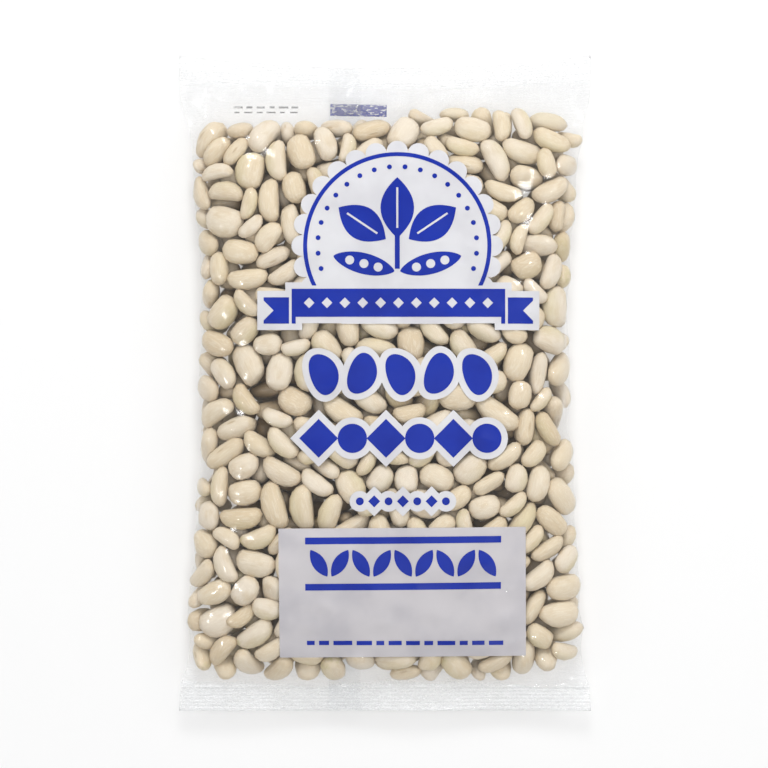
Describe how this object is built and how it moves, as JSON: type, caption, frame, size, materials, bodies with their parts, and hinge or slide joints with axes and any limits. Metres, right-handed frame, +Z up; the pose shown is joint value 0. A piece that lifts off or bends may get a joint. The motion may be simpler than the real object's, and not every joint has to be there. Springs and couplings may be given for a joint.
{
  "type": "sealed clear bag of dried white beans",
  "caption": "Clear film pillow bag of dried white beans, sealed at both ends, with a flat header and a lapped back seam, lying on its back.",
  "frame": {"origin": "on the surface that the bag lies on, below the middle of its outline", "axes": "+Z up, out of the printed front; +Y along the bag towards its top edge and header; +X across it, to the right as the front is seen with the top edge up"},
  "size_m": [0.143, 0.2276, 0.025],
  "materials": {
    "beans": "satin seed coats, cream to ivory",
    "film": "clear glossy film, frosted where it is crimped",
    "print_white": "white ink under glossy film",
    "print_blue": "blue ink under glossy film",
    "print_black": "black ink under glossy film"
  },
  "bodies": {
    "root": {"bean_bag": "beans"}
  },
  "joints": []
}
